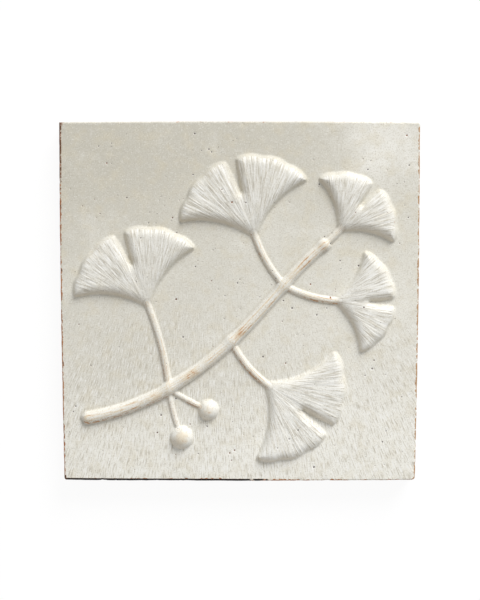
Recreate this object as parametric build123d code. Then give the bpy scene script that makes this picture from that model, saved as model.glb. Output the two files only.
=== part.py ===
from build123d import *
from collections import namedtuple
from math import cos, radians, sin
import os

# A handmade wall tile, pressed into a mould and fired as one piece of clay.
# Millimetres. +Z points out of the face, +Y up the picture, and the origin is the middle of the flat back.

# The slab
TILE_WIDTH = 150.0
TILE_HEIGHT = 151.0
WIDTH_TAPER = 1.6
EDGE_BOW = 0.4
CORNER_RADIUS = 2.0
SLAB_THICKNESS = 11.0
DRAFT_ANGLE = 3.5
ARRIS_RADIUS = 0.6
BACK_CHAMFER = 0.6

# The raised sprig is drawn in a square picture field, and its layout is in shares of that field's side
PICTURE_MARGIN = 5.0
BRANCH_FOOT = (-0.455, -0.345)
BRANCH_HEADING = 10.0
INTERNODE_LENGTHS = (0.26, 0.235, 0.23, 0.17)
INTERNODE_TURNS = (20.0, 14.0, 6.0, -10.0)

# A leaf grows from a node of the branch on a bent stalk: the stalk's heading is where it sets out
Leaf = namedtuple("Leaf", "node heading stalk_length stalk_turn radius")
LEAVES = (
    Leaf(1, 96.0, 0.265, 16.0, 0.245),
    Leaf(2, -64.0, 0.175, 28.0, 0.250),
    Leaf(3, 132.0, 0.180, -24.0, 0.250),
    Leaf(3, -30.0, 0.170, 28.0, 0.190),
    Leaf(4, 40.0, 0.070, 10.0, 0.185),
)
Fruit = namedtuple("Fruit", "node heading stalk_length stalk_turn diameter")
FRUITS = (
    Fruit(1, -36.0, 0.110, 12.0, 9.4),
    Fruit(1, -84.0, 0.125, 14.0, 10.4),
)

# Relief sizes
BRANCH_FOOT_WIDTH = 5.6
BRANCH_TIP_WIDTH = 4.4
KNUCKLE_SWELL = 0.45
STALK_WIDTH = 3.0
FRUIT_STALK_WIDTH = 2.4
ROD_SINK = 0.3
FRUIT_SINK = 1.6
LEAF_CROWN = 3.0
LEAF_RIM = 2.1
LEAF_FOOT = 1.4
LEAF_BEVEL = 0.9
ROOT_DEPTH = 2.0

# The fan leaf's plan: angles from its middle line, and lengths in shares of the leaf's radius
LEAF_SPREAD = 59.0
LEAF_SCALLOPS = 3
SCALLOP_RISE = 0.026
RIM_FALL = 0.07
WAIST_SPREAD = 47.0
WAIST_REACH = 0.52
CROWN_REACH = 0.6
NOTCH_SPREAD = 3.5
NOTCH_DEPTH = 0.42
NOTCH_RADIUS = 0.02
VALLEY_RADIUS = 0.03
LEAF_CORNER_RADIUS = 0.065

PICTURE_SIDE = min(TILE_WIDTH, TILE_HEIGHT) - 2 * PICTURE_MARGIN
FACE = Pos(0, 0, SLAB_THICKNESS)


def direction(heading):
    """Unit vector in the face's plane."""
    return Vector(cos(radians(heading)), sin(radians(heading)))


def slab():
    """Hand-cut slab: a little wider at the top, its edges bowed, drafted towards the face."""
    half_height = TILE_HEIGHT / 2
    half_top = (TILE_WIDTH + WIDTH_TAPER / 2) / 2
    half_bottom = (TILE_WIDTH - WIDTH_TAPER / 2) / 2
    corners = [
        Vector(-half_bottom, -half_height),
        Vector(half_bottom, -half_height),
        Vector(half_top, half_height),
        Vector(-half_top, half_height),
    ]
    edges = []
    for start, end in zip(corners, corners[1:] + corners[:1]):
        outward = (end - start).normalized().rotate(Axis.Z, -90)
        edges.append(ThreePointArc(start, (start + end) / 2 + outward * EDGE_BOW, end))
    outline = make_face(edges)
    outline = fillet(outline.vertices(), CORNER_RADIUS)
    body = extrude(outline, SLAB_THICKNESS, taper=DRAFT_ANGLE)
    body = fillet(body.faces().sort_by(Axis.Z)[-1].edges(), ARRIS_RADIUS)
    return chamfer(body.faces().sort_by(Axis.Z)[0].edges(), BACK_CHAMFER)


def bent(start, heading, length, turn):
    """An arc of that length which sets out at a heading and turns by an angle."""
    return JernArc(start, direction(heading), length / radians(abs(turn)), turn)


def tube(path, width):
    """Round rod along an arc, its ends cut square, sunk so that its flanks have draft."""
    middle = path @ 0 - Vector(0, 0, ROD_SINK)
    section = Plane(middle, x_dir=(0, 0, -1), z_dir=path % 0) * Circle(width / 2)
    turn = (path % 1).get_signed_angle(path % 0)
    return revolve(section, Axis(path.arc_center, (0, 0, 1)), turn)


def branch_arcs():
    """The branch's internodes, each tangent to the one before."""
    start = Vector(*BRANCH_FOOT) * PICTURE_SIDE
    heading = BRANCH_HEADING
    arcs = []
    for length, turn in zip(INTERNODE_LENGTHS, INTERNODE_TURNS):
        arcs.append(bent(start, heading, length * PICTURE_SIDE, turn))
        start = arcs[-1] @ 1
        heading += turn
    return arcs


def branch(arcs):
    """Internodes that step down in width, with a swollen knuckle at each node."""
    pieces = []
    for index, arc in enumerate(arcs):
        share = index / (len(arcs) - 1)
        width = BRANCH_FOOT_WIDTH + (BRANCH_TIP_WIDTH - BRANCH_FOOT_WIDTH) * share
        pieces.append(tube(arc, width))
        pieces.append(Pos(arc @ 1) * Pos(0, 0, -ROD_SINK) * Sphere(width / 2 + KNUCKLE_SWELL))
    return pieces


def leaf_outline(radius):
    """Fan with hollow sides, a scalloped rim and a notch in its middle, opening along +X from its foot."""

    def at(reach, angle):
        return direction(angle) * reach * radius

    def rim(angle, rise=0.0):
        return at(1 - RIM_FALL * (angle / LEAF_SPREAD) ** 2 + rise, angle)

    foot = Vector(0, 0)
    notch = at(1 - NOTCH_DEPTH, 0)
    step = (LEAF_SPREAD - NOTCH_SPREAD) / LEAF_SCALLOPS
    edges = []
    roundings = [(notch, NOTCH_RADIUS)]
    for side in (-1, 1):
        edges.append(ThreePointArc(foot, at(WAIST_REACH, side * WAIST_SPREAD), rim(side * LEAF_SPREAD)))
        edges.append(Line(notch, rim(side * NOTCH_SPREAD)))
        valleys = [side * (NOTCH_SPREAD + index * step) for index in range(LEAF_SCALLOPS + 1)]
        for start, end in zip(valleys, valleys[1:]):
            edges.append(ThreePointArc(rim(start), rim((start + end) / 2, SCALLOP_RISE), rim(end)))
        roundings += [(rim(angle), VALLEY_RADIUS) for angle in valleys[1:-1]]
        roundings += [(rim(angle), LEAF_CORNER_RADIUS) for angle in (valleys[0], valleys[-1])]
    outline = make_face(edges)
    for corner, rounding in roundings:
        nearest = outline.vertices().sort_by_distance(corner)[0]
        outline = fillet(nearest, rounding * radius)
    return outline


def leaf_blade(radius):
    """The fan under a top that arches from its foot to its rim and has a bevelled edge."""
    fan = Pos(0, 0, -ROOT_DEPTH) * extrude(leaf_outline(radius), ROOT_DEPTH + 2 * LEAF_CROWN)
    past_rim = (1 + 2 * SCALLOP_RISE) * radius
    crown = ThreePointArc((0, 0, LEAF_FOOT), (CROWN_REACH * radius, 0, LEAF_CROWN), (past_rim, 0, LEAF_RIM))
    below = Polyline(crown @ 1, (past_rim, 0, -ROOT_DEPTH), (0, 0, -ROOT_DEPTH), crown @ 0)
    arch = extrude(make_face(crown.edges() + below.edges()), radius, both=True)
    blade = fan & arch
    top = blade.faces().sort_by(Axis.Z)[-1]
    return chamfer(top.edges(), LEAF_BEVEL)


def leaves(arcs):
    pieces = []
    for leaf in LEAVES:
        stalk = bent(arcs[leaf.node - 1] @ 1, leaf.heading, leaf.stalk_length * PICTURE_SIDE, leaf.stalk_turn)
        pieces.append(tube(stalk, STALK_WIDTH))
        foot = stalk @ 1 - stalk % 1 * STALK_WIDTH
        blade = leaf_blade(leaf.radius * PICTURE_SIDE)
        pieces.append(Pos(foot) * Rot(0, 0, leaf.heading + leaf.stalk_turn) * blade)
    return pieces


def fruits(arcs):
    pieces = []
    for fruit in FRUITS:
        stalk = bent(arcs[fruit.node - 1] @ 1, fruit.heading, fruit.stalk_length * PICTURE_SIDE, fruit.stalk_turn)
        pieces.append(tube(stalk, FRUIT_STALK_WIDTH))
        middle = stalk @ 1 + stalk % 1 * (fruit.diameter / 2 - FRUIT_STALK_WIDTH / 2)
        pieces.append(Pos(middle) * Pos(0, 0, -FRUIT_SINK) * Sphere(fruit.diameter / 2))
    return pieces


def relief_tile():
    arcs = branch_arcs()
    tile = slab()
    for piece in leaves(arcs) + fruits(arcs) + branch(arcs):
        tile += FACE * piece
    return tile


tile = relief_tile()
os.makedirs("parts", exist_ok=True)
export_step(tile, "parts/relief_tile.step")
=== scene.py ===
import math
from collections import namedtuple

import bpy
import numpy as np
from mathutils.geometry import delaunay_2d_cdt
from mathutils.kdtree import KDTree
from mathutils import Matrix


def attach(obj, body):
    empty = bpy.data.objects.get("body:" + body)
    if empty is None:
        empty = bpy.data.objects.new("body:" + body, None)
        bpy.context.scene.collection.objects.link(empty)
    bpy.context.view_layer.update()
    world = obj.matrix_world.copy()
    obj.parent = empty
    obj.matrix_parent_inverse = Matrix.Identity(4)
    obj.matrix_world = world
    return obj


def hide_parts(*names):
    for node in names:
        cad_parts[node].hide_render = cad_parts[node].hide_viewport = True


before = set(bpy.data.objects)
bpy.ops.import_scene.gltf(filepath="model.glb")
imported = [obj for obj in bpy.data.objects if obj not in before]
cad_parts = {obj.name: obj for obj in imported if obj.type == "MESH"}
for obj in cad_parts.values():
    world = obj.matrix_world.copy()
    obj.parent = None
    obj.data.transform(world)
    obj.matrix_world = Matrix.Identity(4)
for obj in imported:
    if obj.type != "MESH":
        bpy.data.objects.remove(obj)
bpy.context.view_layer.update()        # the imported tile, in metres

# The tile lies on its flat back, with +Z out of its face and +Y up the picture. Metres.
MM = 0.001
SEED = 7

# The slab, as the solid is made
TILE_WIDTH = 150 * MM
TILE_HEIGHT = 151 * MM
WIDTH_TAPER = 1.6 * MM
EDGE_BOW = 0.4 * MM
THICKNESS = 11 * MM
DRAFT = math.tan(math.radians(3.5))
ARRIS = 0.6 * MM
BACK_CHAMFER = 0.6 * MM
CORNER_ROUNDINGS = (1.6 * MM, 2.4 * MM, 1.8 * MM, 0.9 * MM)    # bottom left, then anticlockwise

# The sprig's layout, in shares of the square picture field
PICTURE_SIDE = 140 * MM
BRANCH_FOOT = (-0.455, -0.345)
BRANCH_HEADING = 10.0
INTERNODE_LENGTHS = (0.26, 0.235, 0.23, 0.17)
INTERNODE_TURNS = (20.0, 14.0, 6.0, -10.0)
Leaf = namedtuple("Leaf", "node heading stalk_length stalk_turn radius")
LEAVES = (
    Leaf(1, 96.0, 0.265, 16.0, 0.245),
    Leaf(2, -64.0, 0.175, 28.0, 0.250),
    Leaf(3, 132.0, 0.180, -24.0, 0.250),
    Leaf(3, -30.0, 0.170, 28.0, 0.190),
    Leaf(4, 40.0, 0.070, 10.0, 0.185),
)
Fruit = namedtuple("Fruit", "node heading stalk_length stalk_turn diameter")
FRUITS = (
    Fruit(1, -36.0, 0.110, 12.0, 9.4 * MM),
    Fruit(1, -84.0, 0.125, 14.0, 10.4 * MM),
)

# Relief sizes
BRANCH_FOOT_WIDTH = 5.6 * MM
BRANCH_TIP_WIDTH = 4.4 * MM
KNUCKLE_SWELL = 0.45 * MM
KNUCKLE_LENGTH = 2.4 * MM
STALK_WIDTH = 3.0 * MM
FRUIT_STALK_WIDTH = 2.4 * MM
ROD_SINK = 0.3 * MM
FRUIT_SINK = 1.6 * MM
LEAF_CROWN = 3.0 * MM
LEAF_RIM = 2.1 * MM
LEAF_FOOT = 1.4 * MM

# The fan leaf's plan: angles from its middle line, and lengths in shares of its radius
LEAF_SPREAD = 59.0
LEAF_SCALLOPS = 3
SCALLOP_RISE = 0.026
RIM_FALL = 0.07
WAIST_SPREAD = 47.0
WAIST_REACH = 0.52
CROWN_REACH = 0.6
NOTCH_SPREAD = 3.5
NOTCH_DEPTH = 0.42
LEAF_STEP = 0.4 * MM           # between points of the outline
SOFTENING_STEP = 0.25 * MM
SOFTENING_ROUNDS = 30


# Lines in the plane of the face

def direction(heading):
    return np.array((math.cos(math.radians(heading)), math.sin(math.radians(heading))))


def bent(start, heading, length, turn, step=0.5 * MM):
    """Points along an arc of that length, which sets out at a heading and turns by an angle."""
    shares = np.linspace(0, 1, max(2, round(length / step)) + 1)
    first = math.radians(heading)
    headings = first + math.radians(turn) * shares
    radius = length / math.radians(turn)
    across = start[0] + radius * (np.sin(headings) - math.sin(first))
    up = start[1] - radius * (np.cos(headings) - math.cos(first))
    return np.column_stack((across, up))


def arc_through(start, middle, end, step=0.3 * MM):
    """Points along the arc through three points, without its end."""
    (ax, ay), (bx, by), (cx, cy) = start, middle, end
    twice = 2 * (ax * (by - cy) + bx * (cy - ay) + cx * (ay - by))
    a2, b2, c2 = ax * ax + ay * ay, bx * bx + by * by, cx * cx + cy * cy
    centre = np.array((
        (a2 * (by - cy) + b2 * (cy - ay) + c2 * (ay - by)) / twice,
        (a2 * (cx - bx) + b2 * (ax - cx) + c2 * (bx - ax)) / twice,
    ))
    radius = math.hypot(*(start - centre))
    first = math.atan2(*(start - centre)[::-1])
    through = math.remainder(math.atan2(*(middle - centre)[::-1]) - first, math.tau)
    sweep = 2 * math.asin(min(1, math.hypot(*(end - start)) / (2 * radius)))
    angles = first + math.copysign(sweep, through) * np.arange(0, 1, step / (radius * sweep))
    return centre + radius * np.column_stack((np.cos(angles), np.sin(angles)))


def line_between(start, end, step=0.3 * MM):
    shares = np.arange(0, 1, step / math.hypot(*(end - start)))[:, None]
    return start + (end - start) * shares


def soften(loop, rounds):
    """A closed outline with its corners eased."""
    for _ in range(rounds):
        loop = (np.roll(loop, 1, 0) + 2 * loop + np.roll(loop, -1, 0)) / 4
    return loop


def spaced(loop, step):
    """A closed outline divided into equal steps."""
    closed = np.vstack((loop, loop[:1]))
    lengths = np.concatenate(((0,), np.cumsum(np.hypot(*np.diff(closed, axis=0).T))))
    places = np.linspace(0, lengths[-1], round(lengths[-1] / step), endpoint=False)
    return np.column_stack([np.interp(places, lengths, closed[:, axis]) for axis in (0, 1)])


def outward(loop):
    """Unit normals of an anticlockwise outline."""
    along = np.roll(loop, -1, 0) - np.roll(loop, 1, 0)
    along /= np.hypot(*along.T)[:, None]
    return np.column_stack((along[:, 1], -along[:, 0]))


def circle(count):
    turn = np.arange(count) * math.tau / count
    return np.column_stack((np.cos(turn), np.sin(turn)))


def distance_to(points, loop):
    """Distance from each point to a closed outline."""
    best = np.full(len(points), np.inf)
    for start, step in zip(loop, np.roll(loop, -1, 0) - loop):
        away = points - start
        share = np.clip(away @ step / (step @ step), 0, 1)
        best = np.minimum(best, np.hypot(*(away - share[:, None] * step).T))
    return best


def inside(points, loop):
    """Which points lie within a closed outline."""
    odd = np.zeros(len(points), bool)
    x, y = points.T
    for (ax, ay), (bx, by) in zip(loop, np.roll(loop, -1, 0)):
        crosses = (ay > y) != (by > y)
        reach = (bx - ax) * (y - ay) / (by - ay if by != ay else 1) + ax
        odd ^= crosses & (x < reach)
    return odd


# Growth of the sprig

Rod = namedtuple("Rod", "path half_widths")        # the branch first, then the stalks
Blade = namedtuple("Blade", "foot axis radius outline")
Ball = namedtuple("Ball", "centre radius")


def leaf_outline(radius):
    """Fan with hollow sides, a scalloped rim and a notch in its middle, opening along +X from its foot."""

    def at(reach, angle):
        return direction(angle) * reach * radius

    def rim(angle, rise=0.0):
        return at(1 - RIM_FALL * (angle / LEAF_SPREAD) ** 2 + rise, angle)

    def scallops(first):
        step = (LEAF_SPREAD - NOTCH_SPREAD) / LEAF_SCALLOPS
        starts = [first + index * step for index in range(LEAF_SCALLOPS)]
        return [arc_through(rim(a), rim(a + step / 2, SCALLOP_RISE), rim(a + step)) for a in starts]

    foot = np.zeros(2)
    notch = at(1 - NOTCH_DEPTH, 0)
    runs = [
        arc_through(foot, at(WAIST_REACH, -WAIST_SPREAD), rim(-LEAF_SPREAD)),
        *scallops(-LEAF_SPREAD),
        line_between(rim(-NOTCH_SPREAD), notch),
        line_between(notch, rim(NOTCH_SPREAD)),
        *scallops(NOTCH_SPREAD),
        arc_through(rim(LEAF_SPREAD), at(WAIST_REACH, WAIST_SPREAD), foot),
    ]
    return spaced(soften(spaced(np.vstack(runs), SOFTENING_STEP), SOFTENING_ROUNDS), LEAF_STEP)


def stalk_of(nodes, plant):
    """A stalk's path from its node, and the heading at its end."""
    path = bent(nodes[plant.node - 1], plant.heading, plant.stalk_length * PICTURE_SIDE, plant.stalk_turn)
    return path, direction(plant.heading + plant.stalk_turn)


def grow_sprig():
    """The branch, stalks, leaves and fruits, by the same rule as the solid."""
    start = np.array(BRANCH_FOOT) * PICTURE_SIDE
    heading = BRANCH_HEADING
    path = start[None]
    nodes = []
    for length, turn in zip(INTERNODE_LENGTHS, INTERNODE_TURNS):
        path = np.vstack((path, bent(path[-1], heading, length * PICTURE_SIDE, turn)[1:]))
        nodes.append(path[-1])
        heading += turn
    half_widths = np.linspace(BRANCH_FOOT_WIDTH / 2, BRANCH_TIP_WIDTH / 2, len(path))
    for node in nodes:
        half_widths += KNUCKLE_SWELL * np.exp(-(np.hypot(*(path - node).T) / KNUCKLE_LENGTH) ** 2)
    rods = [Rod(path, half_widths)]
    blades = []
    for leaf in LEAVES:
        path, axis = stalk_of(nodes, leaf)
        rods.append(Rod(path, np.full(len(path), STALK_WIDTH / 2)))
        foot = path[-1] - axis * STALK_WIDTH
        radius = leaf.radius * PICTURE_SIDE
        turned = leaf_outline(radius) @ np.array((axis, (-axis[1], axis[0])))
        blades.append(Blade(foot, axis, radius, foot + turned))
    balls = []
    for fruit in FRUITS:
        path, axis = stalk_of(nodes, fruit)
        rods.append(Rod(path, np.full(len(path), FRUIT_STALK_WIDTH / 2)))
        balls.append(Ball(path[-1] + axis * (fruit.diameter - FRUIT_STALK_WIDTH) / 2, fruit.diameter / 2))
    return rods, blades, balls


# Plan of the face: points that lie closer where the relief is finer

RING_STEP = 0.6 * MM
CORNER_POINTS = 12
ARRIS_ROWS = (0.06, 0.2, 0.4, 0.7, 1.0, 1.6, 2.6)               # shares of the arris
WALL_ROWS = (9.8, 8.6, 7.4, 6.2, 5.0, 3.8, 2.6, 1.5, 0.6)       # heights in millimetres
ROD_ROWS = (0.3, 0.55, 0.75, 0.9, 1.0, 1.12, 1.35, 1.75)        # shares of the half width
BALL_ROWS = (0.0, 0.2, 0.4, 0.58, 0.72, 0.84, 0.92, 0.97, 1.03, 1.15, 1.35)  # shares of the radius
LEAF_ROWS = (-1.8, -1.2, -0.7, -0.3, 0.0, 0.15, 0.4, 0.75, 1.2, 1.8, 2.4)    # millimetres into the leaf
PIT_ROWS = (0.0, 0.5, 1.0, 1.6)                                 # shares of the radius
PIT_STEP = 0.6                 # share of a pit's radius
BALL_STEP = 0.5 * MM
COMB_STEP = 0.3 * MM
COMB_LENGTH = 0.9 * MM
COMB_START = 2.5 * MM
COMB_END = 1.05                # share of a leaf's radius
FIELD_STEP = 0.95 * MM
FIELD_INSET = 3.2 * ARRIS
BACK_STEP = 3.2 * MM
ROW_SHARE = 0.87               # from one row of a triangle grid to the next, in steps
JITTER = 0.16                  # in steps
PIT_COUNT = 160
PIT_SMALLEST = 0.18 * MM
PIT_LARGEST = 0.62 * MM
PIT_SKEW = 2.4                 # most pits are small
PIT_MARGIN = 4 * MM
SAME_PLACE = 0.01 * MM

# The least gap of each kind of point to those before it
GAPS = {
    "arris": 0.03 * MM,
    "pits": 0.08 * MM,
    "fruits": 0.2 * MM,
    "leaf rims": 0.12 * MM,
    "rods": 0.16 * MM,
    "combed leaves": 0.16 * MM,
    "field": 0.5 * MM,
}


def tile_outline():
    """The slab's silhouette where the wall meets the arris, anticlockwise from the bottom left."""
    half_height = TILE_HEIGHT / 2
    half_top = (TILE_WIDTH + WIDTH_TAPER / 2) / 2
    half_bottom = (TILE_WIDTH - WIDTH_TAPER / 2) / 2
    corners = np.array((
        (-half_bottom, -half_height), (half_bottom, -half_height),
        (half_top, half_height), (-half_top, half_height),
    ))
    runs = []
    for index, rounding in enumerate(CORNER_ROUNDINGS):
        before, corner, after = (corners[(index + k) % 4] for k in (-1, 0, 1))
        back = (before - corner) / math.hypot(*(before - corner))
        ahead = (after - corner) / math.hypot(*(after - corner))
        bend_start = corner + back * rounding
        bend_end = corner + ahead * rounding
        t = np.linspace(0, 1, CORNER_POINTS, endpoint=False)[:, None]
        runs.append((1 - t) ** 2 * bend_start + 2 * t * (1 - t) * corner + t**2 * bend_end)
        next_start = after - ahead * CORNER_ROUNDINGS[(index + 1) % 4]
        bow = np.array((ahead[1], -ahead[0])) * EDGE_BOW
        runs.append(arc_through(bend_end, (bend_end + next_start) / 2 + bow, next_start))
    loop = spaced(np.vstack(runs), RING_STEP)
    return loop - outward(loop) * (THICKNESS - ARRIS) * DRAFT


def rod_points(rod):
    """Rows of points along a rod and on both sides of it."""
    along = np.gradient(rod.path, axis=0)
    along /= np.hypot(*along.T)[:, None]
    side = np.column_stack((-along[:, 1], along[:, 0])) * rod.half_widths[:, None]
    shares = [0.0] + [sign * share for share in ROD_ROWS for sign in (-1, 1)]
    return np.vstack([rod.path + side * share for share in shares])


def round_points(centre, radius, shares, step):
    """Rings of points around a centre."""
    return np.vstack([
        centre + circle(max(1, round(math.tau * share * radius / step))) * share * radius
        for share in shares
    ])


def rim_points(blade):
    """Rows of points along a leaf's outline, where they lie nearest to their own stretch of it."""
    rows = []
    for depth in LEAF_ROWS:
        row = blade.outline - outward(blade.outline) * depth * MM
        rows.append(row[distance_to(row, blade.outline) > 0.9 * abs(depth) * MM])
    return np.vstack(rows)


def comb_points(blade):
    """Points on rays from a leaf's foot, with more rays further out."""
    rings = []
    for reach in np.arange(COMB_START, COMB_END * blade.radius, COMB_LENGTH):
        rings.append(circle(2 ** round(math.log2(math.tau * reach / COMB_STEP))) * reach)
    turned = np.vstack(rings) @ np.array((blade.axis, (-blade.axis[1], blade.axis[0])))
    placed = blade.foot + turned[turned @ blade.axis > 0]
    return placed[inside(placed, blade.outline)]


def field_points(step, rng):
    """Uneven points on a grid of triangles, over the whole tile."""
    rows = []
    for index, y in enumerate(np.arange(-TILE_HEIGHT / 2, TILE_HEIGHT / 2, step * ROW_SHARE)):
        x = np.arange(-TILE_WIDTH / 2, TILE_WIDTH / 2, step) + (index % 2) * step / 2
        rows.append(np.column_stack((x, np.full(len(x), y))))
    grid = np.vstack(rows)
    return grid + rng.uniform(-JITTER, JITTER, grid.shape) * step


def nearest_tree(points):
    tree = KDTree(len(points))
    for index, point in enumerate(points):
        tree.insert((*point, 0), index)
    tree.balance()
    return tree


class Plan:
    """Points in a plane, none of them nearer to an earlier one than its gap."""

    def __init__(self, first):
        self.points = np.array(first)

    def add(self, points, gap):
        every = np.vstack((self.points, points))
        tree = nearest_tree(every)
        taken = np.arange(len(every)) < len(self.points)
        for index in range(len(self.points), len(every)):
            near = tree.find_range((*every[index], 0), gap)
            taken[index] = not any(taken[other] for _, other, _ in near)
        self.points = every[taken]

    def triangles(self):
        """The points, and anticlockwise triangles over them. They are found in millimetres."""
        made = delaunay_2d_cdt([tuple(p / MM) for p in self.points], [], [], 0, 1e-5)
        return np.array([tuple(v) for v in made[0]]) * MM, made[2]


def plan_face(ring, rods, blades, balls, pits):
    """Points of every kind, the ones that matter most first."""
    inward = -outward(ring)
    field = field_points(FIELD_STEP, np.random.default_rng(SEED))
    kinds = {
        "arris": [ring + inward * share * ARRIS for share in ARRIS_ROWS],
        "pits": [round_points(*pit, PIT_ROWS, PIT_STEP * pit.radius) for pit in pits],
        "fruits": [round_points(*ball, BALL_ROWS, BALL_STEP) for ball in balls],
        "leaf rims": [rim_points(blade) for blade in blades],
        "rods": [rod_points(rod) for rod in rods],
        "combed leaves": [comb_points(blade) for blade in blades],
        "field": [field[inside(field, ring + inward * FIELD_INSET)]],
    }
    plan = Plan(ring)
    for kind, points in kinds.items():
        plan.add(np.vstack(points), GAPS[kind])
    return plan.triangles()


def slab_mesh(ring, face_points, face_triangles):
    """The flat plan of the face, with the drafted walls and the back below it."""
    normals = outward(ring)
    count = len(ring)
    top = THICKNESS - ARRIS
    verts = [np.column_stack((face_points, np.full(len(face_points), THICKNESS)))]
    faces = [tuple(t) for t in face_triangles]
    face_tree = nearest_tree(face_points)
    upper = [face_tree.find((*point, 0))[1] for point in ring]
    total = len(face_points)
    for height in (*(h * MM for h in WALL_ROWS), 0.0):
        spread = (top - height) * DRAFT - (BACK_CHAMFER if height == 0 else 0)
        verts.append(np.column_stack((ring + normals * spread, np.full(count, height))))
        lower = [total + k for k in range(count)]
        for k in range(count):
            nxt = (k + 1) % count
            faces.append((upper[k], lower[k], lower[nxt], upper[nxt]))
        upper = lower
        total += count

    back_ring = verts[-1][:, :2]
    grid = field_points(BACK_STEP, np.random.default_rng(SEED + 1))
    back = Plan(back_ring)
    back.add(grid[inside(grid, back_ring - normals * BACK_STEP / 2)], BACK_STEP / 3)
    back_points, back_triangles = back.triangles()
    ring_tree = nearest_tree(back_ring)
    names = []
    for point in back_points:
        _, index, away = ring_tree.find((*point, 0))
        if away < SAME_PLACE:
            names.append(upper[index])
        else:
            names.append(total)
            verts.append(np.array([(*point, 0.0)]))
            total += 1
    faces += [tuple(names[v] for v in reversed(t)) for t in back_triangles]
    mesh = bpy.data.meshes.new("glazed_tile")
    mesh.from_pydata(np.vstack(verts).tolist(), [], faces)
    return mesh


# Node trees, written as expressions

class Value:
    """An output of a node. Arithmetic on it adds Math nodes to its tree."""

    def __init__(self, net, socket):
        self.net = net
        self.socket = socket

    def math(self, operation, *others):
        return self.net.node("ShaderNodeMath", {"operation": operation}, [self, *others])

    def after(self, operation, first):
        return self.net.node("ShaderNodeMath", {"operation": operation}, [first, self])

    def __add__(self, other):
        return self.math("ADD", other)

    def __sub__(self, other):
        return self.math("SUBTRACT", other)

    def __rsub__(self, other):
        return self.after("SUBTRACT", other)

    def __mul__(self, other):
        return self.math("MULTIPLY", other)

    def __truediv__(self, other):
        return self.math("DIVIDE", other)

    __radd__ = __add__
    __rmul__ = __mul__

    def above(self, other):
        return self.math("MAXIMUM", other)

    def below(self, other):
        return self.math("MINIMUM", other)


class Net:
    """A node tree."""

    def __init__(self, tree):
        self.tree = tree

    def node(self, kind, settings=None, inputs=(), output=None):
        """Adds a node: its settings first, then the values or links of its sockets."""
        made = self.tree.nodes.new(kind)
        for name, value in (settings or {}).items():
            setattr(made, name, value)
        pairs = inputs.items() if isinstance(inputs, dict) else enumerate(inputs)
        for key, value in pairs:
            socket = made.inputs[key] if isinstance(key, int) else self.named(made.inputs, key)
            if isinstance(value, Value):
                self.tree.links.new(value.socket, socket)
            else:
                socket.default_value = value
        return Value(self, self.named(made.outputs, output) if len(made.outputs) else None)

    @staticmethod
    def named(sockets, name):
        """The first socket in use of that name or identifier, or the first in use."""
        for socket in sockets:
            if socket.enabled and name in (None, socket.name, socket.identifier):
                return socket
        raise KeyError(name)

    def smooth(self, value, low, high):
        """Goes smoothly from 0 at low to 1 at high, which may be the lower of the two."""
        return self.node("ShaderNodeMapRange", {"interpolation_type": "SMOOTHSTEP"},
                         {"Value": value, "From Min": low, "From Max": high}, "Result")

    def noise(self, place, size, detail=2.0):
        """Noise about 0, whose waves are about that long."""
        made = self.node("ShaderNodeTexNoise", {"noise_dimensions": "3D"},
                         {"Vector": place, "Scale": 1 / size, "Detail": detail}, "Fac")
        return made - 0.5

    def mix(self, factor, first, second):
        """Two colours mixed."""
        return self.node("ShaderNodeMix", {"data_type": "RGBA"},
                         {"Factor_Float": factor, "A_Color": first, "B_Color": second}, "Result_Color")

    def vector(self, x, y, z):
        return self.node("ShaderNodeCombineXYZ", None, [x, y, z])

    def parts(self, vector):
        """The three numbers of a vector."""
        made = self.tree.nodes.new("ShaderNodeSeparateXYZ")
        self.tree.links.new(vector.socket, made.inputs[0])
        return [Value(self, socket) for socket in made.outputs]

    def dot(self, first, second):
        return self.node("ShaderNodeVectorMath", {"operation": "DOT_PRODUCT"}, [first, second], "Value")

    def surface(self, shader, output="ShaderNodeOutputMaterial"):
        """Ends the tree in a shader."""
        out = self.tree.nodes.new(output)
        self.tree.links.new(shader.socket, out.inputs["Surface"])


def shader_tree(owner):
    """The tree of a material or a world, emptied."""
    owner.use_nodes = True
    owner.node_tree.nodes.clear()
    return owner.node_tree


# Pressing: the tree that raises the relief out of the plan and works its surface

PRESS_SIZES = {
    "Rod sink": ROD_SINK,
    "Fruit sink": FRUIT_SINK,
    "Leaf foot": LEAF_FOOT,
    "Leaf crown": LEAF_CROWN,
    "Leaf rim": LEAF_RIM,
    "Crown reach": CROWN_REACH,
    "Rim reach": 1 + 2 * SCALLOP_RISE,
    "Leaf roll": 4.0 * MM,
    "Cove": 1.2 * MM,
    "Arris": ARRIS,
    "Comb pitch": 0.9 * MM,
    "Comb length": 8 * MM,
    "Comb depth": 0.17 * MM,
    "Pit depth": 0.2 * MM,
    "Wave": 0.2 * MM,
    "Chip": 0.35 * MM,
}
GUIDES = ("Branch", "Stalks", "Leaf outlines", "Fruits", "Ring", "Pits")
SHADE_SIDE = (-0.5, -0.86, 0.0)        # the flanks that face away from the key lamp, where shade is painted
LeafPlace = namedtuple("LeafPlace", "depth angle reach radius share")     # a point's place on a leaf


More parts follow.
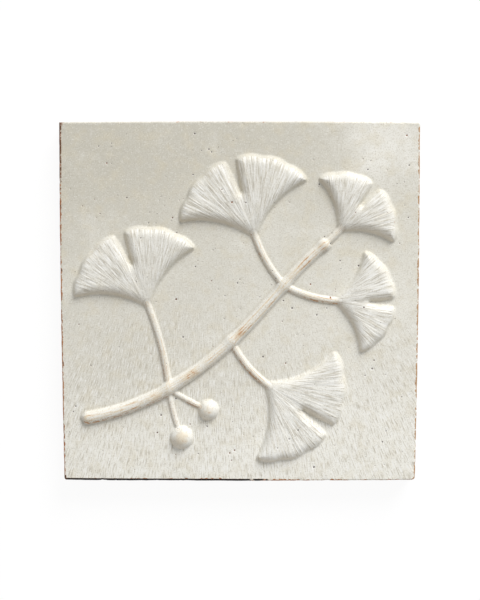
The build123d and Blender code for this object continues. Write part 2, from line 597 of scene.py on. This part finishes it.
class Press(Net):
    """The pressing tree, with what it measures on its guides."""

    def __init__(self):
        super().__init__(bpy.data.node_groups.new("press_tile", "GeometryNodeTree"))
        sockets = self.tree.interface
        sockets.new_socket("Plan", in_out="INPUT", socket_type="NodeSocketGeometry")
        for name in GUIDES:
            sockets.new_socket(name, in_out="INPUT", socket_type="NodeSocketObject")
        for name in PRESS_SIZES:
            sockets.new_socket(name, in_out="INPUT", socket_type="NodeSocketFloat")
        sockets.new_socket("Tile", in_out="OUTPUT", socket_type="NodeSocketGeometry")
        self.entry = self.tree.nodes.new("NodeGroupInput")
        self.place = self.node("GeometryNodeInputPosition")
        x, y, _ = self.parts(self.place)
        self.flat = self.vector(x, y, 0.0)
        self.on_face, self.on_wall = self.kept("on_face"), self.kept("on_wall")
        self.inset = self.away(self.guide("Ring"), "EDGES")

    def given(self, name):
        return Value(self, self.entry.outputs[name])

    def guide(self, name):
        return self.node("GeometryNodeObjectInfo", None, {"Object": self.given(name)}, "Geometry")

    def kept(self, name, kind="FLOAT"):
        """A value that the points themselves have."""
        return self.node("GeometryNodeInputNamedAttribute", {"data_type": kind},
                         {"Name": name}, "Attribute")

    def away(self, target, element):
        """Distance to a guide, in the plane of the face."""
        return self.node("GeometryNodeProximity", {"target_element": element},
                         {"Geometry": target, "Sample Position": self.flat}, "Distance")

    def nearest(self, target, name, kind="FLOAT"):
        """A value of a guide's nearest point."""
        index = self.node("GeometryNodeSampleNearest", None,
                          {"Geometry": target, "Sample Position": self.flat})
        return self.node("GeometryNodeSampleIndex", {"data_type": kind},
                         {"Geometry": target, "Value": self.kept(name, kind), "Index": index})

    def round_form(self, away, half, sink):
        """Height of a round form over its guide, falling away outside it."""
        dome = (half * half - away * away).above(0.0).math("SQRT")
        return dome - (away - half).above(0.0) * 1.5 - sink

    def rods(self):
        """Height of the hand-rolled rods, and how far across and along the nearest one a point lies."""
        uneven = 1 + self.noise(self.place, 9 * MM, 1.0) * 0.2
        heights = []
        across, along = 9.0, 0.0
        for name in ("Branch", "Stalks"):
            guide = self.guide(name)
            away, half = self.away(guide, "EDGES"), self.nearest(guide, "half_width") * uneven
            heights.append(self.round_form(away, half, self.given("Rod sink")))
            nearer = (away / half).math("LESS_THAN", across)
            along = nearer * self.nearest(guide, "along") + (1 - nearer) * along
            across = (away / half).below(across)
        return heights[0].math("SMOOTH_MAX", heights[1], self.given("Cove") * 0.6), across, along

    def fruits(self):
        guide = self.guide("Fruits")
        away, half = self.away(guide, "POINTS"), self.nearest(guide, "half_width")
        return self.round_form(away, half, self.given("Fruit sink"))

    def leaf_place(self):
        """The nearest outline tells where its leaf's foot is and which way the leaf opens."""
        outlines = self.guide("Leaf outlines")
        depth = self.away(outlines, "EDGES") * self.kept("leaf_side")
        axis = self.nearest(outlines, "axis", "FLOAT_VECTOR")
        radius = self.nearest(outlines, "radius")
        arm = self.node("ShaderNodeVectorMath", {"operation": "SUBTRACT"},
                        [self.flat, self.nearest(outlines, "foot", "FLOAT_VECTOR")])
        square = self.node("ShaderNodeVectorMath", {"operation": "CROSS_PRODUCT"}, [(0, 0, 1), axis])
        ahead, aside = self.dot(arm, axis), self.dot(arm, square)
        reach = (ahead * ahead + aside * aside).math("SQRT")
        return LeafPlace(depth, aside.math("ARCTAN2", ahead), reach, radius, ahead / radius)

    def leaf(self, at):
        """A leaf's arch through its foot, crown and rim, creased in its middle, rolled over at its edge."""
        low, crown, rim = self.given("Leaf foot"), self.given("Leaf crown"), self.given("Leaf rim")
        near, far = self.given("Crown reach"), self.given("Rim reach")
        first = (crown - low) / near
        second = (rim - crown) / (far - near)
        arch = low + first * at.share + (second - first) / far * at.share * (at.share - near)
        crease = self.smooth(at.angle.math("ABSOLUTE"), 0.16, 0.0) * self.smooth(at.share, 0.15, 0.6)
        over = 1 - (at.depth / self.given("Leaf roll")).below(1.0).above(0.0)
        roll = (1 - over * over).math("POWER", 0.6)
        return arch * roll * (1 - 0.12 * crease) + at.depth.below(0.0) * 1.2

    def together(self, rod, fruit, leaf):
        """All forms in one, with coves where they meet and a rounded arris round the face."""
        cove, arris = self.given("Cove"), self.given("Arris")
        raised = rod.math("SMOOTH_MAX", fruit, cove * 0.6)
        raised = raised.math("SMOOTH_MAX", leaf, cove * 0.7)
        raised = raised.math("SMOOTH_MAX", 0.0, cove)
        over = (arris - self.inset).above(0.0)
        drop = arris - (arris * arris - over * over).above(0.0).math("SQRT")
        return (raised - drop) * self.on_face

    def combed(self, at, in_leaf):
        """Strokes of a comb, which run out from a leaf's foot."""
        raked = self.vector(at.angle * at.radius / self.given("Comb pitch"),
                            at.reach / self.given("Comb length"), at.radius * 900)
        return self.noise(raked, 1.0, 1.0) * in_leaf * self.smooth(at.reach, 3 * MM, 9 * MM)

    def pits(self):
        guide = self.guide("Pits")
        share = self.away(guide, "POINTS") / self.nearest(guide, "half_width")
        return self.smooth(share, 1.25, 0.25) * self.on_face

    def dents(self, strokes, pit):
        """A surface that is a little uneven, more so on the bare wall and along the hand-cut edge."""
        slow, quick = self.noise(self.place, 24 * MM, 1.0), self.noise(self.place, 4.5 * MM)
        grain = self.noise(self.place, 1.6 * MM)
        nick = self.smooth(self.noise(self.place, 3.2 * MM, 3.0), 0.08, 0.24)
        near_edge = self.smooth(self.inset, 2.6 * MM, 0.2 * MM) * self.on_face
        wave = self.given("Wave")
        dent = (slow * 1.4 + quick * 0.4) * wave * self.on_face
        dent = dent + strokes * 2.2 * self.given("Comb depth") - pit * self.given("Pit depth")
        dent = dent + (grain * 0.5 + quick * 1.2) * wave * (self.on_wall + near_edge)
        return dent - nick * self.given("Chip") * (near_edge + self.on_wall * 0.4)

    def moved(self, geometry, offset):
        return self.node("GeometryNodeSetPosition", None, {"Geometry": geometry, "Offset": offset})

    def store(self, geometry, name, value, kind="FLOAT"):
        return self.node("GeometryNodeStoreNamedAttribute", {"data_type": kind, "domain": "POINT"},
                         {"Geometry": geometry, "Name": name, "Value": value})


def press_tree(material):
    """Raises the forms out of the plan, marks them for the finish, then works the surface."""
    net = Press()
    rod, across, along = net.rods()
    fruit, pit, at = net.fruits(), net.pits(), net.leaf_place()
    in_leaf = net.smooth(at.depth, 0.3 * MM, 1.6 * MM) * net.on_face
    lip = net.smooth(at.depth, 0.0, 0.6 * MM) * net.smooth(at.depth, 2.0 * MM, 0.8 * MM)
    normal = net.node("GeometryNodeInputNormal", None, (), "Normal")
    marks = {
        "across": across,
        "along": along,
        "rod": net.smooth(rod, 0.1 * MM, 0.5 * MM) * net.on_face,
        "fruit": net.smooth(fruit, 0.2 * MM, 0.8 * MM) * net.on_face,
        "lip": lip * net.on_face,
        "edge": net.smooth(net.inset, 1.5 * MM, 0.1 * MM) * net.on_face,
        "pit": pit,
        "leaf": in_leaf,
        # The flanks that face away from the key lamp, which the finish darkens as painted shade
        "lower_flank": net.smooth(net.dot(normal, SHADE_SIDE), 0.15, 0.7) * net.on_face,
    }
    comb = net.vector(at.angle * at.radius, at.reach, at.radius)
    lift = net.together(rod, fruit, net.leaf(at))
    dent = net.dents(net.combed(at, in_leaf), pit)
    push = net.node("ShaderNodeVectorMath", {"operation": "SCALE"},
                    {"Vector": normal, "Scale": dent}, "Vector")

    shape = net.moved(net.given("Plan"), net.vector(0.0, 0.0, lift))
    for name, value in marks.items():
        shape = net.store(shape, name, value)
    shape = net.store(shape, "comb", comb, "FLOAT_VECTOR")
    shape = net.moved(shape, push)
    shape = net.node("GeometryNodeSetShadeSmooth", None, {"Geometry": shape})
    shape = net.node("GeometryNodeRealizeInstances", None, {"Geometry": shape})
    shape = net.node("GeometryNodeSetMaterial", None, {"Geometry": shape, "Material": material})
    out = net.tree.nodes.new("NodeGroupOutput")
    net.tree.links.new(shape.socket, out.inputs["Tile"])
    return net.tree


def add_attribute(mesh, name, values):
    values = np.asarray(values, np.float32)
    kind, field = ("FLOAT", "value") if values.ndim == 1 else ("FLOAT_VECTOR", "vector")
    mesh.attributes.new(name, kind, "POINT").data.foreach_set(field, values.ravel())


def guide_object(name, paths, closed=None, **attributes):
    """A mesh to measure from: points, or lines that are closed or open, with a value for each point."""
    points = np.vstack(paths)
    edges = []
    first = 0
    for path in paths if closed is not None else ():
        last = first + len(path) - 1
        edges += [(k, k + 1) for k in range(first, last)]
        edges += [(last, first)] if closed else []
        first = last + 1
    mesh = bpy.data.meshes.new(name)
    mesh.from_pydata([(*p, 0.0) for p in points], edges, [])
    for key, values in attributes.items():
        add_attribute(mesh, key, values)
    made = bpy.data.objects.new(name, mesh)
    bpy.context.scene.collection.objects.link(made)
    return made


def rod_guide(name, rods):
    """Rods as lines, which know their half width and the length so far."""
    lengths = [np.hypot(*np.gradient(rod.path, axis=0).T).cumsum() for rod in rods]
    return guide_object(name, [rod.path for rod in rods], closed=False, along=np.concatenate(lengths),
                        half_width=np.concatenate([rod.half_widths for rod in rods]))


def per_point(blades, values):
    """One value of each leaf, repeated along its outline."""
    repeated = [np.repeat([value], len(blade.outline), 0) for blade, value in zip(blades, values)]
    return np.concatenate(repeated)


def make_tile(material):
    rods, blades, balls = grow_sprig()
    ring = tile_outline()
    rng = np.random.default_rng(SEED + 2)
    reach = (TILE_WIDTH / 2 - PIT_MARGIN, TILE_HEIGHT / 2 - PIT_MARGIN)
    places = rng.uniform(-1, 1, (PIT_COUNT, 2)) * reach
    radii = PIT_SMALLEST + (PIT_LARGEST - PIT_SMALLEST) * rng.uniform(0, 1, PIT_COUNT) ** PIT_SKEW
    pits = [Ball(place, radius) for place, radius in zip(places, radii)]
    mesh = slab_mesh(ring, *plan_face(ring, rods, blades, balls, pits))

    coords = np.empty(len(mesh.vertices) * 3, np.float32)
    mesh.vertices.foreach_get("co", coords)
    x, y, z = coords.reshape(-1, 3).T.astype(float)
    on_face = z > THICKNESS - ARRIS / 2
    in_leaf = np.any([inside(np.column_stack((x, y)), blade.outline) for blade in blades], axis=0)
    add_attribute(mesh, "on_face", on_face)
    add_attribute(mesh, "on_wall", ~on_face & (z > 0.1 * MM))
    add_attribute(mesh, "leaf_side", np.where(in_leaf, 1, -1))

    guides = {
        "Branch": rod_guide("branch_guide", rods[:1]),
        "Stalks": rod_guide("stalk_guide", rods[1:]),
        "Leaf outlines": guide_object("leaf_guide", [blade.outline for blade in blades], closed=True,
                                      foot=per_point(blades, [(*b.foot, 0.0) for b in blades]),
                                      axis=per_point(blades, [(*b.axis, 0.0) for b in blades]),
                                      radius=per_point(blades, [b.radius for b in blades])),
        "Fruits": guide_object("fruit_guide", [[ball.centre] for ball in balls],
                               half_width=[ball.radius for ball in balls]),
        "Ring": guide_object("ring_guide", [ring], closed=True),
        "Pits": guide_object("pit_guide", [places], half_width=radii),
    }
    tile = bpy.data.objects.new("glazed_tile", mesh)
    bpy.context.scene.collection.objects.link(tile)
    press = tile.modifiers.new("press", "NODES")
    press.node_group = press_tree(material)
    settings = {**guides, **PRESS_SIZES}
    for item in press.node_group.interface.items_tree:
        if item.name in settings:
            press[item.identifier] = settings[item.name]
    depsgraph = bpy.context.evaluated_depsgraph_get()
    plain = bpy.data.meshes.new_from_object(tile.evaluated_get(depsgraph), preserve_all_data_layers=True,
                                            depsgraph=depsgraph)
    tile.modifiers.clear()
    tile.data = plain
    for made in guides.values():
        bpy.data.objects.remove(made)
    return tile


# Finish

def linear(red, green, blue):
    """A colour given as it looks on screen, 0 to 255."""
    shares = (channel / 255 for channel in (red, green, blue))
    return (*(s / 12.92 if s <= 0.04045 else ((s + 0.055) / 1.055) ** 2.4 for s in shares), 1.0)


GLAZE_UPPER_LEFT_TONE = linear(200, 196, 183)
GLAZE_LOWER_RIGHT_TONE = linear(243, 241, 232)
GLAZE_CLOUD = linear(241, 239, 231)
GLAZE_BLUSH = linear(214, 204, 178)
# Painted warm shade on the flanks that face away from the key lamp
GLAZE_PAINTED_SHADE = linear(202, 186, 160)
# Grey grain, also a painted shade line along the feet of the rods
GLAZE_GRAIN_AND_SHADE = linear(184, 177, 161)
SPECK = linear(70, 54, 44)
SPECK_RUST = linear(134, 90, 58)
# Pale grain and pale pit rings, also a painted highlight on the raised forms
PALE_GLAZE_AND_HIGHLIGHT = linear(246, 245, 241)
CLAY = linear(172, 116, 80)
CLAY_PALE = linear(208, 174, 142)
CLAY_THIN = linear(194, 148, 108)
CLAY_VEIL = linear(216, 197, 164)
CLAY_GRAIN = linear(170, 132, 100)
CLAY_TAN = linear(178, 148, 112)
# Black: burnt clay, and along the bottom a painted contact shadow
CLAY_BURNT_AND_SHADOW = linear(24, 18, 16)
CLOUD_PLACE = (60 * MM, 66 * MM, THICKNESS)
BRUSH_PLACE = (-10 * MM, 120 * MM)
BURNT_CORNER = (-74.6 * MM, 74.9 * MM)


class Finish(Net):
    """A material's tree, with the marks that the pressing left on the tile."""

    def __init__(self, material):
        super().__init__(shader_tree(material))
        self.place = self.node("ShaderNodeTexCoord", None, (), "Object")
        self.x, self.y, self.z = self.parts(self.place)

    def mark(self, name, output="Fac"):
        return self.node("ShaderNodeAttribute", {"attribute_name": name}, (), output)

    def grain(self, size, detail=2.0):
        """Noise over the surface."""
        return self.noise(self.place, size, detail)

    def tint(self, base, colour, share, value, low, high):
        """Up to a share of a colour, laid on where a value goes from low to high."""
        return self.mix(self.smooth(value, low, high) * share, base, colour)


class GlazedClay(Finish):
    """Satin putty-white glaze over reddish clay, which shows where the glaze is thin."""

    def __init__(self, material):
        super().__init__(material)
        self.rod, self.fruit, self.leaf = (self.mark(name) for name in ("rod", "fruit", "leaf"))
        self.lip, self.edge, self.pit = (self.mark(name) for name in ("lip", "edge", "pit"))
        # lower: the flanks that face away from the key lamp, darkened as painted shade
        self.across, self.lower = self.mark("across"), self.mark("lower_flank")

        # Unevenness that several layers share, from the widest to the finest
        self.slow, self.stretch = self.grain(34 * MM), self.grain(9 * MM)
        self.middle, self.beads = self.grain(8 * MM, 3.0), self.grain(1.7 * MM)
        self.ragged, self.fine = self.grain(1.3 * MM, 4.0), self.grain(0.55 * MM)

        # The rods' crests and their flanks that face away from the key lamp, and streaks that run along the
        # rods
        self.crest = self.smooth(self.across, 0.85, 0.4) * self.rod
        self.shaded_rod_flank = self.lower * self.rod * self.smooth(self.across, 0.35, 0.7)
        along = self.mark("along") / (9 * MM)
        self.streaks = self.noise(self.vector(along, self.across * 3.6 + self.stretch * 1.2, 0.0), 1.0, 3.0)

        # The four edges of the face
        self.left = self.smooth(self.x, -72 * MM, -74.2 * MM)
        self.right = self.smooth(self.x, 72 * MM, 74 * MM)
        self.top = self.smooth(self.y, 72 * MM, 74.4 * MM)
        self.bottom = self.smooth(self.y, -72 * MM, -74.4 * MM)

    def clouds(self):
        """Where the glaze lies thicker: small clouds, and a large one near the upper right corner."""
        off = self.node("ShaderNodeVectorMath", {"operation": "DISTANCE"}, [self.place, CLOUD_PLACE], "Value")
        small = self.smooth(self.middle * 0.9 + self.slow * 0.6, 0.02, 0.34) * 0.3
        return small.above(self.smooth(off + self.middle * 26 * MM, 28 * MM, 3 * MM) * 0.85)

    def plain_glaze(self, clouds):
        """The glaze is paler towards the lower right, and has a warm mottle and a fine grain; the raised
        forms are whitened as a painted highlight.
        """
        # Paler towards the bottom and the right
        toward_lower_right = self.smooth(self.y, 70 * MM, -10 * MM) * 0.42 + self.smooth(self.y, -20 * MM, -72 * MM) * 0.5
        toward_lower_right = 0.1 + toward_lower_right + self.x / (460 * MM) + self.slow * 0.3
        curdle, blush = self.grain(1.6 * MM), self.grain(6 * MM, 3.0)
        glaze = self.mix(toward_lower_right.above(0.0).below(1.0), GLAZE_UPPER_LEFT_TONE, GLAZE_LOWER_RIGHT_TONE)
        glaze = self.mix(clouds, glaze, GLAZE_CLOUD)
        glaze = self.tint(glaze, GLAZE_BLUSH, 0.36, blush, -0.06, 0.24)
        glaze = self.tint(glaze, GLAZE_GRAIN_AND_SHADE, 0.24, curdle, 0.02, 0.26)
        glaze = self.tint(glaze, PALE_GLAZE_AND_HIGHLIGHT, 0.16, curdle, -0.02, -0.26)
        # Painted highlight: the rods, fruits and leaves are whitened
        glaze = self.mix(self.rod.above(self.fruit).above(self.leaf) * 0.3, glaze, PALE_GLAZE_AND_HIGHLIGHT)
        glaze = self.tint(glaze, GLAZE_GRAIN_AND_SHADE, 0.55, self.fine, -0.02, 0.26)
        return self.tint(glaze, PALE_GLAZE_AND_HIGHLIGHT, 0.4, self.fine, -0.04, -0.26)

    def strokes(self):
        """Strokes of the comb on the leaves, and of a brush on the lower part of the field."""
        comb_x, comb_y, comb_z = self.parts(self.mark("comb", "Vector"))
        hairs = self.noise(self.vector(comb_x / (0.5 * MM), comb_y / (6 * MM), comb_z * 700), 1.0)
        aside, down = self.x - BRUSH_PLACE[0], BRUSH_PLACE[1] - self.y
        far = (aside * aside + down * down).math("SQRT")
        fanned = self.vector(aside.math("ARCTAN2", down) * 400, far / (4 * MM), 0.0)
        brushed = self.noise(fanned, 1.0, 1.5) * self.smooth(self.y + self.slow * 60 * MM, 30 * MM, -40 * MM)
        brushed = brushed * (1 - self.rod) * (1 - self.fruit)
        return hairs * self.leaf + brushed * (1 - self.leaf) * 0.75

    def thinned_and_shaded(self, glaze):
        """Glaze that is thin on crests and fruits, with painted warm shade on the flanks that face away from
        the key lamp, clay grain on the rods' shaded flanks that is partly painted shade, and a painted shade
        line along the feet of the rods.
        """
        veil = self.smooth(self.streaks * 1.2 + self.fine * 0.3 + self.stretch * 0.3, -0.1, 0.14) * self.crest
        cap = self.smooth(self.z + self.ragged * 2 * MM, THICKNESS + 2.2 * MM, THICKNESS + 3.4 * MM)
        # Painted shade: a grey line in the coves along both feet of the rods
        painted_cove_shade = self.smooth(self.across, 0.9, 1.08) * self.smooth(self.across, 1.6, 1.15)
        sandy = self.smooth(self.ragged * 0.8 + self.fine * 0.6 + self.stretch * 0.6, -0.05, 0.15)
        # Painted shade: a warm darker tone on the flanks that face away from the key lamp
        glaze = self.mix(self.lower * 0.4, glaze, GLAZE_PAINTED_SHADE)
        glaze = self.mix(veil * 0.7, glaze, CLAY_VEIL)
        glaze = self.mix(cap * self.fruit * 0.5, glaze, CLAY_VEIL)
        glaze = self.mix(painted_cove_shade * 0.3, glaze, GLAZE_GRAIN_AND_SHADE)
        # Clay grain on the rods' shaded flanks, partly painted shade
        return self.mix(sandy * self.shaded_rod_flank, glaze, CLAY_GRAIN)

    def specked(self, glaze):
        """Iron specks, and pits with a pale ring."""
        cells = self.node("ShaderNodeTexVoronoi", {"feature": "F1"},
                          {"Vector": self.place, "Scale": 1 / (4 * MM)}, "Distance")
        speck = self.smooth(cells + self.stretch * 0.1, 0.05, 0.015).above(self.smooth(self.pit, 0.4, 0.75))
        iron = self.mix(self.smooth(self.stretch, 0.0, 0.1), SPECK, SPECK_RUST)
        glaze = self.tint(glaze, PALE_GLAZE_AND_HIGHLIGHT, 0.35, self.pit, 0.02, 0.3)
        return self.mix(speck * (0.95 + self.stretch), glaze, iron)

    def bare_by_wear_and_shade(self):
        """Where clay grins through: in streaks on crests, on fruits and leaf lips, and on the rods' flanks
        that face away from the key lamp, where it is partly painted shade.
        """
        streaky = self.crest * 0.3 + self.streaks * 1.5 + self.ragged * 0.5 + self.stretch * 0.5
        raised = self.fruit * self.smooth(self.z, THICKNESS + 2.0 * MM, THICKNESS + 3.4 * MM)
        lips = raised * 0.4 + self.lip * 0.22 + self.ragged * 0.8 + self.stretch * 0.8
        on_crests = self.smooth(streaky, 0.42, 0.6) * self.crest
        # Bare clay on the rods' shaded flanks, partly painted shade
        on_shaded_flanks = self.smooth(self.shaded_rod_flank * 0.5 + self.ragged * 0.8 + self.stretch * 1.1, 0.46, 0.62)
        return on_crests.above(on_shaded_flanks).above(self.smooth(lips, 0.42, 0.62))

    def worn_edge(self):
        """Where the arris is bare: in patches, most of all on the left and below."""
        below = self.bottom * (self.smooth(self.x, 50 * MM, 0.0) * 0.6 - 0.1)
        bias = self.left * 0.24 + below + self.right * self.bottom * 0.4 + self.right * 0.2 - self.top * 0.3
        return self.smooth(self.edge * 0.9 + bias + self.beads * 1.7 + self.stretch * 0.9, 0.82, 1.0)

    def bare_wall(self):
        """The walls, below the ragged end of the glaze."""
        end = (8.6 - 3.5 * self.top) * MM
        height = self.z + (self.middle * 3.0 + self.ragged * 1.2) * MM
        return self.smooth(height, end, end - 0.5 * MM)

    def burnt_and_shadowed_edge(self):
        """Where the arris is black: in patches on the left, at a nick in the upper left corner, and along the
        bottom as a painted contact shadow.
        """
        scorch_and_shadow = self.left * (0.24 + self.smooth(self.y, 30 * MM, 68 * MM) * 0.24)
        # Painted contact shadow: black along the left part of the bottom arris
        scorch_and_shadow = scorch_and_shadow + self.bottom * self.smooth(self.x, 34 * MM, -20 * MM) * 0.9
        burn_and_shadow = self.smooth(scorch_and_shadow + self.ragged * 0.9 + self.beads * 0.6, 0.3, 0.5)
        burn_and_shadow = burn_and_shadow * self.smooth(self.edge, 0.25, 0.5)
        off_corner = (self.x - BURNT_CORNER[0]) / (1.7 * MM) + (BURNT_CORNER[1] - self.y) / (4.6 * MM)
        on_top = self.smooth(self.z, THICKNESS - 1.6 * MM, THICKNESS - 0.4 * MM)
        return burn_and_shadow.above(self.smooth(off_corner + self.ragged * 0.8, 1.1, 0.5) * on_top * 0.8)

    def clay(self, through, worn_edge, burn_and_shadow):
        """Reddish clay, tan on the right edge, black where it is burnt, black along the bottom as a painted
        contact shadow, and paler under a thin glaze.
        """
        strong = self.smooth(self.streaks + self.ragged * 0.5 + self.stretch, 0.24, 0.4)
        clay = self.tint(CLAY, CLAY_PALE, 0.6, self.ragged + self.middle * 0.6, -0.12, 0.22)
        clay = self.mix(self.right * self.edge * 0.85, clay, CLAY_TAN)
        # Black where burnt, and a painted contact shadow along the bottom
        clay = self.mix(burn_and_shadow * (1 - self.left * 0.3), clay, CLAY_BURNT_AND_SHADOW)
        return self.mix(through * (1 - strong) * (1 - worn_edge), clay, CLAY_THIN)


def glaze_material():
    material = bpy.data.materials.new("satin_glaze")
    net = GlazedClay(material)
    clouds, strokes = net.clouds(), net.strokes()
    glaze = net.plain_glaze(clouds)
    glaze = net.tint(glaze, GLAZE_GRAIN_AND_SHADE, 0.75, strokes, 0.01, 0.18)
    glaze = net.tint(glaze, PALE_GLAZE_AND_HIGHLIGHT, 0.8, strokes, -0.01, -0.18)
    glaze = net.specked(net.thinned_and_shaded(glaze))
    through, worn_edge, burn_and_shadow = net.bare_by_wear_and_shade(), net.worn_edge(), net.burnt_and_shadowed_edge()
    bare = through.above(worn_edge).above(net.bare_wall()).above(burn_and_shadow)
    colour = net.mix(bare, glaze, net.clay(through, worn_edge, burn_and_shadow))
    rough = 0.58 + net.fine * 0.2 + clouds * 0.1 + bare * 0.27
    height = net.grain(1.0 * MM) * 0.7 + net.fine * 0.5 + strokes * 2.6 + bare * net.ragged * 1.2
    bump = net.node("ShaderNodeBump", None,
                    {"Strength": 0.5, "Distance": 0.1 * MM, "Height": height}, "Normal")
    net.surface(net.node("ShaderNodeBsdfPrincipled", None, {
        "Base Color": colour,
        "Roughness": rough,
        "Specular IOR Level": 0.3,
        "Normal": bump,
    }))
    return material


# Studio

IMAGE_HEIGHT = 600
FACE_SCALE = 0.4178 * MM       # a pixel's width on the face
SENSOR = 36.0
LENS = 70.0
CAMERA_TILT = math.radians(3.6)
AIM = (0.15 * MM, 1.2 * MM, THICKNESS)
Lamp = namedtuple("Lamp", "name heading elevation size share")
LAMPS = (
    Lamp("key", 65.0, 30.0, 1.9, 0.58),
    Lamp("card", 245.0, 20.0, 1.9, 0.05),
)
LAMP_DISTANCE = 3.2
WHITE = (1, 1, 1, 1)
FLOOR_SIDE = 3.0
FLOOR_COLOUR = (0.9, 0.9, 0.9, 1)
FLOOR_GLOW = 1.03
FLOOR_GLOW_SHARE = 0.9
WORLD_SHARE = 1 - sum(lamp.share for lamp in LAMPS)        # of the light on the flat face


def seen_directly(net):
    """1 for rays from the camera, and for reflected or refracted ones."""
    camera, glossy, through = (
        net.node("ShaderNodeLightPath", None, (), f"Is {kind} Ray")
        for kind in ("Camera", "Glossy", "Transmission")
    )
    return camera.above(glossy).above(through)


def place_camera():
    camera = bpy.data.objects.new("camera", bpy.data.cameras.new("camera"))
    camera.data.sensor_width = SENSOR
    camera.data.lens = LENS
    distance = FACE_SCALE * IMAGE_HEIGHT * LENS / SENSOR
    camera.location = (
        AIM[0],
        AIM[1] + distance * math.sin(CAMERA_TILT),
        AIM[2] + distance * math.cos(CAMERA_TILT),
    )
    camera.rotation_euler = (-CAMERA_TILT, 0, 0)
    bpy.context.scene.collection.objects.link(camera)
    bpy.context.scene.camera = camera


def place_lamp(lamp):
    """A round lamp that gives the flat face its share of the light."""
    light = bpy.data.lights.new(lamp.name, "AREA")
    light.shape = "DISK"
    light.size = lamp.size
    rise = math.sin(math.radians(lamp.elevation))
    light.energy = lamp.share * math.pi**2 * LAMP_DISTANCE**2 / rise
    placed = bpy.data.objects.new(lamp.name, light)
    aside, ahead = direction(lamp.heading) * math.cos(math.radians(lamp.elevation)) * LAMP_DISTANCE
    placed.location = (aside, ahead, rise * LAMP_DISTANCE)
    placed.rotation_euler = (math.radians(90 - lamp.elevation), 0, math.radians(lamp.heading + 90))
    bpy.context.scene.collection.objects.link(placed)


def light_world():
    world = bpy.data.worlds.new("soft_white")
    bpy.context.scene.world = world
    net = Net(shader_tree(world))
    strength = WORLD_SHARE + (1 - WORLD_SHARE) * seen_directly(net)
    sky = net.node("ShaderNodeBackground", None, {"Color": WHITE, "Strength": strength})
    net.surface(sky, "ShaderNodeOutputWorld")


def lay_floor():
    """A white floor that keeps only a faint shadow."""
    half = FLOOR_SIDE / 2
    corners = [(-half, -half, 0), (half, -half, 0), (half, half, 0), (-half, half, 0)]
    mesh = bpy.data.meshes.new("floor")
    mesh.from_pydata(corners, [], [(0, 1, 2, 3)])
    white = bpy.data.materials.new("white_floor")
    net = Net(shader_tree(white))
    matte = net.node("ShaderNodeBsdfDiffuse", None, {"Color": FLOOR_COLOUR})
    glow = net.node("ShaderNodeEmission", None, {"Color": WHITE, "Strength": FLOOR_GLOW})
    net.surface(net.node("ShaderNodeMixShader", None, [seen_directly(net) * FLOOR_GLOW_SHARE, matte, glow]))
    mesh.materials.append(white)
    floor = bpy.data.objects.new("floor", mesh)
    bpy.context.scene.collection.objects.link(floor)


tile = make_tile(glaze_material())
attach(tile, "root")
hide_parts("relief_tile")
bpy.context.scene.view_settings.view_transform = "Standard"
place_camera()
for lamp in LAMPS:
    place_lamp(lamp)
light_world()
lay_floor()
